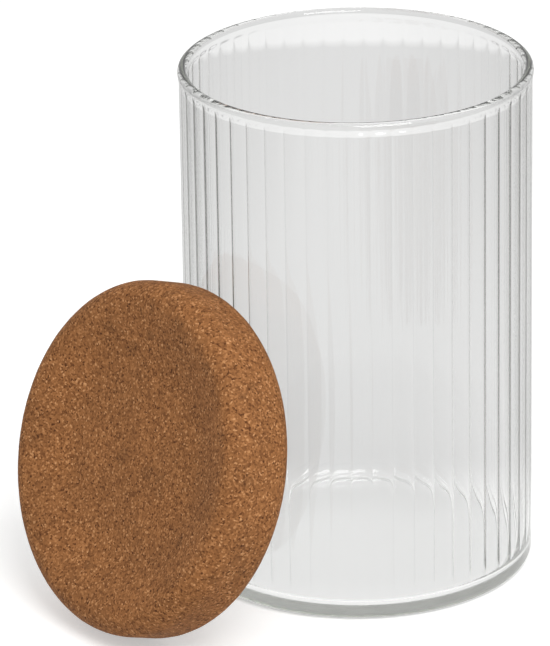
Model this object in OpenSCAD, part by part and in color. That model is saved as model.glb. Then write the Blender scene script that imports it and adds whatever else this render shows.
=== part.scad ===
// Ribbed glass storage jar with a loose cork lid, in millimetres.
// The origin is the centre of the jar's foot, and +Z is the jar's axis.
// The lid leans against the jar, with its dished top turned outward.

/* [Jar] */
// Outside diameter of the glass wall
jar_d = 100; // [90:1:140]
// Height from the foot to the top of the rim
jar_h = 150; // [110:1:240]
// Wall thickness, measured at the crest of a rib
wall_t = 2.5; // [2:0.1:4]
// Thickness of the flat bottom
bottom_t = 3; // [2:0.1:6]
// Outside rounding where the wall meets the foot
foot_r = 3; // [1:0.1:5]
// Inside rounding where the wall meets the bottom
heel_r = 4; // [2:0.1:8]

/* [Rim] */
// How far the fire-polished rim stands out from the wall
rim_proud = 0.35; // [0.1:0.05:0.8]
// Height of the plain band at the mouth, above the ribs
band_h = 4; // [3:0.1:12]

/* [Ribs] */
// Number of vertical ribs round the inner face
rib_count = 50; // [24:1:72]
// Depth of the hollow between two ribs
rib_depth = 0.3; // [0.1:0.05:0.6]
// Direction of one rib's crest, from +X towards +Y
rib_turn = 0.8; // [0:0.1:7.2]

/* [Lid] */
// How far the cork disc stands out past the wall all round
lid_overhang = 0.3; // [0:0.1:3]
// Full thickness of the cork disc
lid_h = 22; // [18:1:30]
// Rounding of the upper and lower edge
lid_edge_r = 7; // [4:0.1:8]
// Depth of the dish in the top
dish_depth = 5; // [2:0.1:7]
// Radius of the level middle of the dish
dish_floor_r = 22; // [10:1:34]

/* [Leaning lid] */
// Angle of the disc from upright, towards the jar
lean = 19; // [8:1:30]
// Direction round the jar in which the lid stands, from +X towards +Y
lean_azimuth = -141.5; // [-180:0.5:180]
// Clearance between the lid and the glass
lean_gap = 0.3; // [0.1:0.05:1]

/* [Hidden] */

$fn = 96;

jar_r = jar_d / 2;
mouth_r = jar_r - wall_t;

// The rim is a round bead, and the mouth trims its inner side flush
bead_trim = 0.2;
bead_r = (wall_t + rim_proud + bead_trim) / 2;
bead_c = jar_r + rim_proud - bead_r;
bead_z = jar_h - bead_r;

// The crests of the ribs stand just behind the wall of the mouth
crest_back = 0.05;
crest_r = mouth_r + crest_back;
points_per_rib = 6;
rib_top = jar_h - band_h;
rib_foot = bottom_t + heel_r;

// The round edges are swept about rings of this radius, this far from the disc's mid-plane
lid_r = jar_r + lid_overhang;
edge_ring_r = lid_r - lid_edge_r;
edge_ring_h = lid_h / 2 - lid_edge_r;

// The dish starts where the upper round edge ends
dish_r = edge_ring_r;
dish_steps = 14;

// The leaning disc's lowest edge meets the floor, and its upper back edge meets the wall
lid_centre_z = edge_ring_r * cos(lean) + edge_ring_h * sin(lean) + lid_edge_r;
lid_centre_s = jar_r + lean_gap + edge_ring_r * sin(lean) + edge_ring_h * cos(lean) + lid_edge_r;

glass_colour = [0.86, 0.90, 0.87, 0.45];
cork_colour = [0.55, 0.37, 0.23];

// Radius of the inner face at share u of one rib pitch: a crest at 0 and 1, a hollow between
function rib_radius(u) = crest_r + rib_depth * (1 - pow(2 * u - 1, 2));

// Depth of the dish at radius r: level in the middle, then an S-shaped rise to the edge
function dish_share(r) = (r - dish_floor_r) / (dish_r - dish_floor_r);
function dish_z(r) = dish_depth * (1 + cos(180 * dish_share(r))) / 2;

// Half section of the cork disc: a slab with a round outer edge above and below
module disc_half_section() {
    square([edge_ring_r, lid_h]);
    translate([0, lid_edge_r]) square([lid_r, lid_h - 2 * lid_edge_r]);
    translate([edge_ring_r, lid_edge_r]) circle(lid_edge_r);
    translate([edge_ring_r, lid_h - lid_edge_r]) circle(lid_edge_r);
}

// Half section of the jar's outside: rounded foot, straight wall and the bead of the rim
module jar_half_section() {
    square([jar_r - foot_r, bead_z]);
    translate([0, foot_r]) square([jar_r, bead_z - foot_r]);
    translate([jar_r - foot_r, foot_r]) circle(foot_r);
    translate([bead_c, bead_z]) circle(bead_r);
}

// Plain round band at the mouth, open at the top
module mouth_bore() {
    translate([0, 0, rib_top]) cylinder(r = mouth_r, h = jar_h - rib_top + 1);
}

// Scalloped stretch of the inside: each rib is a crest between two shallow hollows
module ribbed_bore() {
    steps = rib_count * points_per_rib;
    translate([0, 0, rib_foot]) linear_extrude(rib_top - rib_foot) polygon([
        for (i = [0 : steps - 1])
            let (a = rib_turn + i * 360 / steps, u = (i % points_per_rib) / points_per_rib)
                rib_radius(u) * [cos(a), sin(a)]
    ]);
}

// Round bowl at the bottom of the inside, where the ribs run out
module heel_bowl() {
    rotate_extrude() {
        translate([0, bottom_t]) square([mouth_r - heel_r, heel_r]);
        translate([mouth_r - heel_r, rib_foot]) intersection() {
            circle(heel_r);
            translate([0, -heel_r]) square(heel_r);
        }
    }
}

module glass_jar() {
    color(glass_colour) difference() {
        rotate_extrude() jar_half_section();
        mouth_bore();
        ribbed_bore();
        heel_bowl();
    }
}

// Upright cork disc, with its underside on z = 0
module cork_disc() {
    difference() {
        rotate_extrude() disc_half_section();
        translate([0, 0, lid_h]) rotate_extrude() polygon(concat(
            [[0, 1], [0, -dish_depth]],
            [for (i = [0 : dish_steps])
                let (r = dish_floor_r + (dish_r - dish_floor_r) * i / dish_steps) [r, -dish_z(r)]],
            [[dish_r, 1]]
        ));
    }
}

module cork_lid() {
    color(cork_colour)
        rotate([0, 0, lean_azimuth])
            translate([lid_centre_s, 0, lid_centre_z])
                rotate([0, 90 - lean, 0])
                    translate([0, 0, -lid_h / 2])
                        cork_disc();
}

glass_jar();
cork_lid();
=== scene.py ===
import math

import bpy
import numpy as np
from mathutils import Matrix, Vector, noise


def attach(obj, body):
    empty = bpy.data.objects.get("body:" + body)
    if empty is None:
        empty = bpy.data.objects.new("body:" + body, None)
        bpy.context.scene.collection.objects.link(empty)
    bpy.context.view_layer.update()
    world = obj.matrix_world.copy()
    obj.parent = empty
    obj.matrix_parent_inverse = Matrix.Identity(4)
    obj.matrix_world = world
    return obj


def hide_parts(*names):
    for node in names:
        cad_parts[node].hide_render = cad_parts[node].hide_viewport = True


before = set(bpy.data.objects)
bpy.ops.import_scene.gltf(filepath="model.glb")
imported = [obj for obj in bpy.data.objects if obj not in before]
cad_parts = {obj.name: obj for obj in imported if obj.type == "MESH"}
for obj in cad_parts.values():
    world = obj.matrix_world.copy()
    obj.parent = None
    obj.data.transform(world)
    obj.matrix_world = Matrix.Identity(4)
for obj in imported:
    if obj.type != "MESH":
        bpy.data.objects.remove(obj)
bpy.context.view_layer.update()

MM = 0.001
scene = bpy.context.scene
scene.view_settings.view_transform = 'Standard'

# Transmission bounces carry light through both walls and the foot. Ten glossy bounces leave the light
# that runs on inside the wall dark, as the photograph's rib lines are.
scene.cycles.max_bounces = 32
scene.cycles.transmission_bounces = 32
scene.cycles.glossy_bounces = 10

# Camera at the photograph's viewing angle: metres, degrees and pixels of the photograph's frame
CAMERA_PLACE = Vector((0.0, -1.5, 0.678))
PAN, TILT, ROLL = (math.radians(a) for a in (-0.91, 22.02, -0.89))
FOCAL_PX = 5629.0
FRAME_W, FRAME_H = 550, 646
SENSOR_MM = 36.0
CLIP_NEAR, CLIP_FAR = 0.05, 50.0


def make_camera():
    ahead = Vector((math.sin(PAN) * math.cos(TILT), math.cos(PAN) * math.cos(TILT), -math.sin(TILT)))
    right = ahead.cross(Vector((0, 0, 1))).normalized()
    up = right.cross(ahead)
    side = right * math.cos(ROLL) + up * math.sin(ROLL)
    top = up * math.cos(ROLL) - right * math.sin(ROLL)
    data = bpy.data.cameras.new("camera")
    data.sensor_width = SENSOR_MM
    data.lens = FOCAL_PX * SENSOR_MM / max(FRAME_W, FRAME_H)
    data.clip_start, data.clip_end = CLIP_NEAR, CLIP_FAR
    cam = bpy.data.objects.new("camera", data)
    scene.collection.objects.link(cam)
    turn = Matrix((side, top, -ahead)).transposed().to_4x4()
    cam.matrix_world = Matrix.Translation(CAMERA_PLACE) @ turn
    scene.camera = cam


make_camera()


# Node helpers
def new_material(name):
    mat = bpy.data.materials.new(name)
    mat.use_nodes = True
    tree = mat.node_tree
    tree.nodes.clear()
    return mat, tree


def add(tree, kind, inputs=None, **attrs):
    """A new node. An input is given a plain value, or is linked when it is given a socket."""
    node = tree.nodes.new(kind)
    for key, value in attrs.items():
        setattr(node, key, value)
    for key, value in (inputs or {}).items():
        if isinstance(value, bpy.types.NodeSocket):
            tree.links.new(value, node.inputs[key])
        else:
            node.inputs[key].default_value = value
    return node


def math_node(tree, operation, a, b):
    return add(tree, "ShaderNodeMath", {0: a, 1: b}, operation=operation).outputs[0]


def map_range(tree, value, low, high, smooth=False):
    """Carries value from one range to another; low and high are pairs of (from, to)."""
    return add(tree, "ShaderNodeMapRange", {
        "Value": value, "From Min": low[0], "From Max": high[0], "To Min": low[1], "To Max": high[1],
    }, interpolation_type="SMOOTHSTEP" if smooth else "LINEAR").outputs[0]


def ramp(tree, fac, stops):
    node = add(tree, "ShaderNodeValToRGB", {"Fac": fac})
    elements = node.color_ramp.elements
    while len(elements) < len(stops):
        elements.new(0.5)
    for element, (place, colour) in zip(elements, stops):
        element.position = place
        element.color = (*colour, 1.0)
    return node.outputs["Color"]


def output_node(tree, kind, **shaders):
    output = add(tree, kind)
    for socket, shader in shaders.items():
        tree.links.new(shader, output.inputs[socket])


def ray_kinds(tree):
    """1 for a camera ray, and 1 for a ray through glass or off something glossy."""
    path = add(tree, "ShaderNodeLightPath").outputs
    return path["Is Camera Ray"], math_node(
        tree, "MAXIMUM", path["Is Glossy Ray"], path["Is Transmission Ray"])


# World: the camera sees white, glass and gloss see near white with greyer sides, and the rest is soft light.
# Each pair is the sideways share of a ray's direction and the level seen there.
WHITE = (1, 1, 1, 1)
WORLD_LIGHT = 0.60
BACKDROP = 0.92
BACKDROP_LEFT = ((-0.80, 0.42), (-0.35, BACKDROP))
BACKDROP_RIGHT = ((0.40, BACKDROP), (0.85, 0.50))


def make_world():
    world = bpy.data.worlds.new("studio")
    world.use_nodes = True
    scene.world = world
    tree = world.node_tree
    tree.nodes.clear()
    camera_ray, glass_ray = ray_kinds(tree)
    direction = add(tree, "ShaderNodeTexCoord").outputs["Generated"]
    across = add(tree, "ShaderNodeSeparateXYZ", {0: direction}).outputs[0]
    left = map_range(tree, across, *BACKDROP_LEFT, smooth=True)
    right = map_range(tree, across, *BACKDROP_RIGHT, smooth=True)
    glass = math_node(tree, "MULTIPLY", math_node(tree, "MINIMUM", left, right), glass_ray)
    other = math_node(tree, "MULTIPLY", math_node(tree, "SUBTRACT", 1.0, glass_ray), WORLD_LIGHT)
    strength = math_node(tree, "MAXIMUM", math_node(tree, "ADD", glass, other), camera_ray)
    background = add(tree, "ShaderNodeBackground", {"Color": WHITE, "Strength": strength})
    output_node(tree, "ShaderNodeOutputWorld", Surface=background.outputs[0])


# Floor, in metres: the camera sees it pale with the object's shadow. Glass and gloss see little of its real
# light and mostly painted light and shade: a glow near white up to the jar's middle, grey behind it and
# dimmer to the sides, and paler again beyond the glow's far edge. Each pair is a place in depth and the
# glow's level there, or a place across and the share of that level.
FLOOR_HALF = 3.0
FLOOR_Z = -0.0002
FLOOR_COLOUR = (0.78, 0.78, 0.77)
FLOOR_LIFT = 0.42
LIT_HIDDEN_FROM_GLASS = 0.8
PAINTED_GLOW_DEPTH = ((0.01, 0.92), (0.07, 0.585))
PAINTED_GLOW_LEFT = ((-0.40, 0.50), (-0.12, 1.0))
PAINTED_GLOW_RIGHT = ((0.14, 1.0), (0.42, 0.60))
PAINTED_GLOW_EDGE_Y, PAINTED_GLOW_EDGE_SOFT = 0.458, 0.006
PAINTED_GLOW_BEYOND_EDGE = 0.18


def make_floor():
    mesh = bpy.data.meshes.new("floor")
    half = FLOOR_HALF
    mesh.from_pydata([(-half, -half, 0), (half, -half, 0), (half, half, 0), (-half, half, 0)],
                     [], [(0, 1, 2, 3)])
    floor = bpy.data.objects.new("floor", mesh)
    floor.location.z = FLOOR_Z
    scene.collection.objects.link(floor)
    mat, tree = new_material("pale_floor")
    camera_ray, glass_ray = ray_kinds(tree)
    hidden = math_node(tree, "MULTIPLY", glass_ray, LIT_HIDDEN_FROM_GLASS)
    share = math_node(tree, "SUBTRACT", 1.0, hidden)
    tone = [math_node(tree, "MULTIPLY", share, part) for part in FLOOR_COLOUR]
    colour = add(tree, "ShaderNodeCombineColor", dict(enumerate(tone))).outputs[0]
    lit = add(tree, "ShaderNodeBsdfDiffuse", {"Color": colour}).outputs[0]
    place = add(tree, "ShaderNodeNewGeometry").outputs["Position"]
    across, depth = add(tree, "ShaderNodeSeparateXYZ", {0: place}).outputs[:2]
    # Painted light and shade for glass and gloss: a glow bright under the jar, greyer behind it and at the
    # sides
    beyond = map_range(tree, depth, (PAINTED_GLOW_EDGE_Y - PAINTED_GLOW_EDGE_SOFT, 0.0),
                       (PAINTED_GLOW_EDGE_Y + PAINTED_GLOW_EDGE_SOFT, PAINTED_GLOW_BEYOND_EDGE))
    painted_glow = map_range(tree, depth, *PAINTED_GLOW_DEPTH, smooth=True)
    left = map_range(tree, across, *PAINTED_GLOW_LEFT, smooth=True)
    right = map_range(tree, across, *PAINTED_GLOW_RIGHT, smooth=True)
    painted_glow = math_node(tree, "MULTIPLY", math_node(tree, "ADD", beyond, painted_glow),
                     math_node(tree, "MULTIPLY", left, right))
    lift = math_node(tree, "ADD", math_node(tree, "MULTIPLY", camera_ray, FLOOR_LIFT),
                     math_node(tree, "MULTIPLY", glass_ray, painted_glow))
    glow = add(tree, "ShaderNodeEmission", {"Color": WHITE, "Strength": lift}).outputs[0]
    both = add(tree, "ShaderNodeAddShader", {0: lit, 1: glow}).outputs[0]
    output_node(tree, "ShaderNodeOutputMaterial", Surface=both)
    mesh.materials.append(mat)


# Softbox high up between camera and jar, a little to the right, in metres and watts
KEY_PLACE, KEY_AIM = Vector((0.38, -1.03, 1.38)), Vector((0, 0, 0.05))
KEY_SIZE, KEY_WATTS = 0.9, 19.0


def make_key_light():
    data = bpy.data.lights.new("key_softbox", "AREA")
    data.shape = "RECTANGLE"
    data.size = data.size_y = KEY_SIZE
    data.energy = KEY_WATTS
    lamp = bpy.data.objects.new("key_softbox", data)
    lamp.location = KEY_PLACE
    lamp.rotation_mode = "QUATERNION"
    lamp.rotation_quaternion = (KEY_AIM - KEY_PLACE).to_track_quat("-Z", "Y")
    scene.collection.objects.link(lamp)


make_world()
make_floor()
make_key_light()


# Mesh helpers
def lathe_mesh(name, rings):
    """Joins rings, arrays of (columns, 3) in mm from one pole to the other, and caps both ends."""
    count = len(rings[0])
    points = np.concatenate([*rings, [rings[0].mean(0), rings[-1].mean(0)]])
    first = np.arange(count)
    following = (first + 1) % count
    faces = []
    for k in range(len(rings) - 1):
        a, b = k * count, (k + 1) * count
        faces.extend(zip((a + first).tolist(), (a + following).tolist(),
                         (b + following).tolist(), (b + first).tolist()))
    start = len(rings) * count
    last = start - count
    pairs = list(zip(first.tolist(), following.tolist()))
    faces.extend((start, b, a) for a, b in pairs)
    faces.extend((start + 1, last + a, last + b) for a, b in pairs)
    mesh = bpy.data.meshes.new(name)
    mesh.from_pydata((points * MM).tolist(), [], faces)
    mesh.update()
    mesh.polygons.foreach_set("use_smooth", [True] * len(mesh.polygons))
    piece = bpy.data.objects.new(name, mesh)
    scene.collection.objects.link(piece)
    return piece


def arc(centre, radii, start, end, steps):
    """Points of an elliptical arc, angles in degrees from outward (+r) towards +z."""
    angles = np.radians(np.linspace(start, end, steps + 1))
    return [(centre[0] + radii[0] * math.cos(a), centre[1] + radii[1] * math.sin(a)) for a in angles]


def ease(value, low, high):
    """0 below low, 1 above high, and a smooth rise between them."""
    t = min(1.0, max(0.0, (value - low) / (high - low)))
    return t * t * (3 - 2 * t)


# Glass jar, in millimetres
JAR_R, JAR_H, WALL, BOTTOM = 50.0, 150.0, 2.5, 3.0
MOUTH_R = JAR_R - WALL
FOOT_R, HEEL_R = 3.0, 4.0
RIM_PROUD, RIM_HALF_H, RIM_START_DEG = 0.35, 1.5, -12
NECK_Z = JAR_H - 4.6

# Mesh rings: radii of the flat faces, heights of the inner wall, and steps of the other stretches
UNDERSIDE_RINGS = (2.0, 38.0, 46.0)
BOTTOM_RINGS = (42.0, 34.0, 2.0)
INNER_HEIGHTS = (148.1, 147.8, 147.6, 147.4, 147.2, 147.0, 146.8, 146.6, 146.4, 146.2, 146.0, 145.8, 145.4,
                 *np.linspace(140, 16, 10), 13, 11, 10, 9, 8)
FOOT_STEPS, WALL_RINGS, NECK_STEPS, RIM_STEPS, HEEL_STEPS = 14, 12, 6, 26, 16

# Ribs: COLUMNS are the shares of a pitch at which half a rib has mesh columns, from its crest on.
# The hollow between two crests is a soft curve and a steeper one, each as deep in mm as its number says,
# and every rib differs a little in width and depth.
RIB_COUNT, RIB_TURN, RIB_SEED = 50, 0.8, 7
CREST_R = MOUTH_R + 0.05
COLUMNS = np.array([0.0, 0.012, 0.03, 0.055, 0.09, 0.14, 0.20, 0.27, 0.35, 0.42])
HOLLOW_SOFT, HOLLOW_STEEP = 0.11, 0.19
WIDTH_SPREAD, DEPTH_SPREAD = 0.02, 0.12

# The ribs grow below the mouth's plain band and run out in the rounding at the bottom
RIB_TOP_START, RIB_TOP_FULL = 147.6, 145.8
RIB_FOOT_START, RIB_FOOT_FULL = 5.0, 11.0

# The underside is rougher glass, because clear glass there shows a black or patchy foot
GLASS_IOR = 1.474
GLASS_TINT, GLASS_TINT_DENSITY = (0.20, 0.28, 0.05, 1.0), 5.0
WALL_ROUGHNESS, UNDERSIDE_ROUGHNESS = 0.0, 0.4
UNDERSIDE_TOP = 0.4


def rib_columns():
    """Angle, share of a pitch and depth factor at every mesh column: close together at the crests."""
    shares = np.concatenate([COLUMNS, [0.5], 1 - COLUMNS[:0:-1]])
    rng = np.random.RandomState(RIB_SEED)
    crest = np.arange(RIB_COUNT) + rng.uniform(-WIDTH_SPREAD, WIDTH_SPREAD, RIB_COUNT)
    width = np.diff(np.append(crest, crest[0] + RIB_COUNT))
    turns = (crest[:, None] + width[:, None] * shares).ravel()
    depth = np.repeat(rng.uniform(1 - DEPTH_SPREAD, 1 + DEPTH_SPREAD, RIB_COUNT), len(shares))
    return np.radians(RIB_TURN + turns * 360 / RIB_COUNT), np.tile(shares, RIB_COUNT), depth


def glass_material(name, roughness):
    mat, tree = new_material(name)
    bsdf = add(tree, "ShaderNodeBsdfPrincipled", {
        "Base Color": WHITE, "Roughness": roughness, "IOR": GLASS_IOR, "Transmission Weight": 1.0})
    tint = add(tree, "ShaderNodeVolumeAbsorption", {"Color": GLASS_TINT, "Density": GLASS_TINT_DENSITY})
    output_node(tree, "ShaderNodeOutputMaterial", Surface=bsdf.outputs[0], Volume=tint.outputs[0])
    return mat


def outer_profile():
    """Radius and height from the underside's middle up the wall, over the rim and down to its inner side."""
    points = [(r, 0.0) for r in UNDERSIDE_RINGS]
    points += arc((JAR_R - FOOT_R, FOOT_R), (FOOT_R, FOOT_R), -90, 0, FOOT_STEPS)
    points += [(JAR_R, z) for z in np.linspace(FOOT_R + 1, NECK_Z, WALL_RINGS)]
    rim_r = (WALL + RIM_PROUD) / 2
    rim = arc((MOUTH_R + rim_r, JAR_H - RIM_HALF_H), (rim_r, RIM_HALF_H), RIM_START_DEG, 180, RIM_STEPS)
    swell, climb = rim[0][0] - JAR_R, rim[0][1] - NECK_Z
    neck = np.linspace(0, 1, NECK_STEPS + 1)[1:-1]
    points += [(JAR_R + swell * ease(t, 0, 1), NECK_Z + climb * t) for t in neck]
    return points + rim


def make_jar():
    angles, shares, depth = rib_columns()
    across = np.abs(2 * shares - 1)
    hollow = (HOLLOW_SOFT * (1 - across ** 2) + HOLLOW_STEEP * (1 - across ** 4)) * depth
    circle = np.stack([np.cos(angles), np.sin(angles)], -1)

    def ring(radius, height):
        radius = np.broadcast_to(radius, angles.shape)
        return np.column_stack([circle * radius[:, None], np.full(len(angles), height)])

    rings = [ring(r, z) for r, z in outer_profile()]
    for z in INNER_HEIGHTS:
        grown = 1 - ease(z, RIB_TOP_FULL, RIB_TOP_START)
        run_out = ease(z, RIB_FOOT_START, RIB_FOOT_FULL)
        rings.append(ring(MOUTH_R + grown * (CREST_R - MOUTH_R + run_out * hollow), z))
    for r, z in arc((MOUTH_R - HEEL_R, BOTTOM + HEEL_R), (HEEL_R, HEEL_R), 0, -90, HEEL_STEPS):
        rings.append(ring(r + ease(z, RIB_FOOT_START, RIB_FOOT_FULL) * hollow, z))
    rings += [ring(r, BOTTOM) for r in BOTTOM_RINGS]
    jar = lathe_mesh("jar_glass", rings)

    jar.data.materials.append(glass_material("clear_glass", WALL_ROUGHNESS))
    jar.data.materials.append(glass_material("clear_glass_underside", UNDERSIDE_ROUGHNESS))
    for face in jar.data.polygons:
        if face.center.z < UNDERSIDE_TOP * MM:
            face.material_index = 1
    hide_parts("glass_jar")
    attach(jar, "jar")


# Cork lid, in millimetres
LID_R, LID_H, LID_EDGE = 50.3, 22.0, 7.0
DISH_DEPTH, DISH_FLOOR, DISH_CREST = 5.0, 25.0, 47.0
UPPER_EDGE_DEG = 48
LEAN, LEAN_AZIMUTH, LEAN_GAP = math.radians(19), math.radians(-141.5), 0.3
RING_R = LID_R - LID_EDGE
RING_H = LID_H / 2 - LID_EDGE

# Mesh of the lid: ring at the poles, steps of the section's stretches, then ring spacing and columns
LID_POLE_R = 1.0
LOWER_EDGE_STEPS, UPPER_EDGE_STEPS, DISH_RINGS = 24, 14, 80
LID_STEP, LID_COLUMNS = 0.45, 640

# Relief of the cork: two sizes of grain and sparse pits, each as (noise scale per mm, height in mm)
FINE_GRAIN, BROAD_GRAIN, PITS = (1.6, 0.035), (0.25, 0.05), (0.9, 0.5)
PIT_FROM, PIT_OFFSET = 0.45, Vector((31, 7, 5))
SURFACE_SINK = 0.05


def lid_profile():
    """Evenly spaced radius and height, from the underside's middle round the edge and into the dish."""
    points = [(LID_POLE_R, 0.0), (RING_R, 0.0)]
    points += arc((RING_R, LID_EDGE), (LID_EDGE, LID_EDGE), -90, 0, LOWER_EDGE_STEPS)[1:]
    points += arc((RING_R, LID_H - LID_EDGE), (LID_EDGE, LID_EDGE), 0, UPPER_EDGE_DEG, UPPER_EDGE_STEPS)
    for r in np.linspace(points[-1][0], DISH_FLOOR, DISH_RINGS)[1:]:
        share = min(1.0, (r - DISH_FLOOR) / (DISH_CREST - DISH_FLOOR))
        beyond_ring = max(0.0, r - RING_R)
        rounding = LID_EDGE - math.sqrt(LID_EDGE ** 2 - beyond_ring ** 2)
        points.append((r, LID_H - rounding - DISH_DEPTH * (1 + math.cos(math.pi * share)) / 2))
    points.append((LID_POLE_R, LID_H - DISH_DEPTH))
    points = np.array(points)
    length = np.concatenate([[0], np.cumsum(np.hypot(*np.diff(points, axis=0).T))])
    even = np.linspace(0, length[-1], int(length[-1] / LID_STEP))
    return np.column_stack([np.interp(even, length, points[:, 0]), np.interp(even, length, points[:, 1])])


def lid_place():
    """From the disc lying on z = 0 to where it leans: on the floor, and LEAN_GAP off the wall."""
    centre_z = RING_R * math.cos(LEAN) + RING_H * math.sin(LEAN) + LID_EDGE
    centre_s = JAR_R + LEAN_GAP + RING_R * math.sin(LEAN) + RING_H * math.cos(LEAN) + LID_EDGE
    return (Matrix.Rotation(LEAN_AZIMUTH, 4, "Z") @ Matrix.Translation((centre_s, 0, centre_z))
            @ Matrix.Rotation(math.pi / 2 - LEAN, 4, "Y") @ Matrix.Translation((0, 0, -LID_H / 2)))


def relief(at):
    """How far the cork's surface stands out at a point, in mm. Pits and sink take it inwards."""
    grain = sum(noise.noise(at * scale) * height for scale, height in (FINE_GRAIN, BROAD_GRAIN))
    pit = noise.noise(at * PITS[0] + PIT_OFFSET)
    return grain - SURFACE_SINK - max(0.0, pit - PIT_FROM) * PITS[1]


def make_lid():
    profile = lid_profile()
    steps = np.gradient(profile, axis=0)
    outward = np.column_stack([steps[:, 1], -steps[:, 0]])
    outward /= np.linalg.norm(outward, axis=1)[:, None]
    angles = np.linspace(0, 2 * math.pi, LID_COLUMNS, endpoint=False)
    turn = np.array(lid_place(), float)
    rings = []
    for (r, z), (nr, nz) in zip(profile, outward):
        points = []
        for a in angles:
            c, s = math.cos(a), math.sin(a)
            lift = relief(Vector((r * c, r * s, z)))
            points.append(((r + nr * lift) * c, (r + nr * lift) * s, z + nz * lift))
        rings.append(np.array(points) @ turn[:3, :3].T + turn[:3, 3])
    lid = lathe_mesh("lid_cork", rings)
    lid.data.materials.append(cork_material())
    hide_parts("cork_lid")
    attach(lid, "lid")


# Cork: each tone's stop is the share of granules that are darker than it
CORK_TONES = [
    (0.00, (0.085, 0.026, 0.006)), (0.05, (0.150, 0.053, 0.014)), (0.25, (0.222, 0.087, 0.027)),
    (0.75, (0.315, 0.130, 0.042)), (0.94, (0.420, 0.186, 0.068)), (1.00, (0.560, 0.280, 0.120))]
GRANULES_PER_M, CLUMPS_PER_M, CLOUDS_PER_M, CLOUD_DETAIL = 1900.0, 300.0, 60.0, 4.0
CLOUD_SHADE = ((0.3, 0.90), (0.7, 1.10))
DARK_CLUMPS = ((0.0, 0.80), (0.06, 1.0))
GRANULE_BUMP, GRANULE_BUMP_M = 0.35, 0.0002
CORK_ROUGHNESS, CORK_SPECULAR = 0.82, 0.25


def cork_material():
    mat, tree = new_material("cork")
    place = add(tree, "ShaderNodeTexCoord").outputs["Object"]
    granules = add(tree, "ShaderNodeTexVoronoi", {"Vector": place, "Scale": GRANULES_PER_M})
    granule_draw = add(tree, "ShaderNodeSeparateColor", {0: granules.outputs["Color"]}).outputs[0]
    tone = ramp(tree, granule_draw, CORK_TONES)
    clouds = add(tree, "ShaderNodeTexNoise",
                 {"Vector": place, "Scale": CLOUDS_PER_M, "Detail": CLOUD_DETAIL}).outputs[0]
    clumps = add(tree, "ShaderNodeTexVoronoi", {"Vector": place, "Scale": CLUMPS_PER_M})
    clump_draw = add(tree, "ShaderNodeSeparateColor", {0: clumps.outputs["Color"]}).outputs[1]
    shade = math_node(tree, "MULTIPLY", map_range(tree, clouds, *CLOUD_SHADE),
                      map_range(tree, clump_draw, *DARK_CLUMPS))
    grey = add(tree, "ShaderNodeCombineColor", {0: shade, 1: shade, 2: shade}).outputs[0]
    # A Mix node's colours are its inputs 6 and 7 and its output 2
    colour = add(tree, "ShaderNodeMix", {0: 1.0, 6: tone, 7: grey},
                 data_type="RGBA", blend_type="MULTIPLY").outputs[2]
    bump = add(tree, "ShaderNodeBump", {
        "Strength": GRANULE_BUMP, "Distance": GRANULE_BUMP_M, "Height": granules.outputs["Distance"],
    }, invert=True).outputs[0]
    bsdf = add(tree, "ShaderNodeBsdfPrincipled", {
        "Base Color": colour, "Roughness": CORK_ROUGHNESS, "Specular IOR Level": CORK_SPECULAR,
        "Normal": bump})
    output_node(tree, "ShaderNodeOutputMaterial", Surface=bsdf.outputs[0])
    return mat


make_jar()
make_lid()
